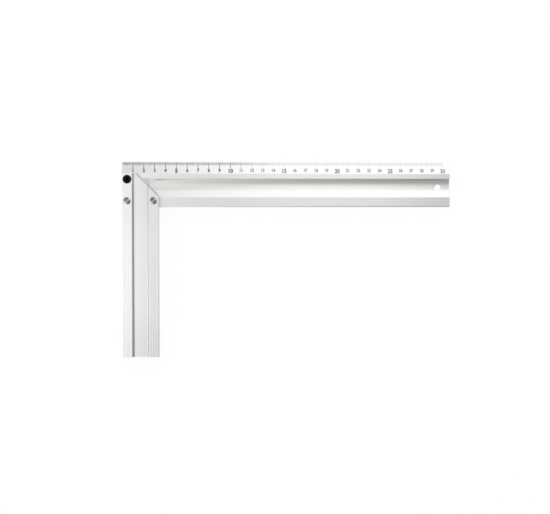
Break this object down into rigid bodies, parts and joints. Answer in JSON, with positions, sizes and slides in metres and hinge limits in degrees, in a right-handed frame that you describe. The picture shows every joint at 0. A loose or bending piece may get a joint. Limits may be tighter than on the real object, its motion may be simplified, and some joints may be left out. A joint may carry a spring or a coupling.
{
  "type": "carpenter square",
  "caption": "Aluminium carpenter's square: a bevelled, grooved blade with a scale edge, let into a thick grooved stock at a right angle and held by countersunk screws.",
  "frame": {"origin": "zero corner of the scale edge, where the blade's end, its outer edge and its rear face meet; z = 0 is the plane of the blade's rear face, which lies on the work", "axes": "+X along the blade from the scale's zero, +Y out of the scale edge, +Z out of the printed face"},
  "size_m": [0.3065, 0.18, 0.02],
  "materials": {
    "blade_aluminium": "satin anodised",
    "stock_aluminium": "satin anodised",
    "screw_steel": "dull turned steel",
    "black_steel": "black oxide",
    "scale_ink": "matt print"
  },
  "bodies": {
    "root": {"blade": "blade_aluminium", "stock": "stock_aluminium", "outer_slotted_screw": "screw_steel", "inner_slotted_screw": "screw_steel", "heel_socket_screw": "black_steel"}
  },
  "joints": []
}
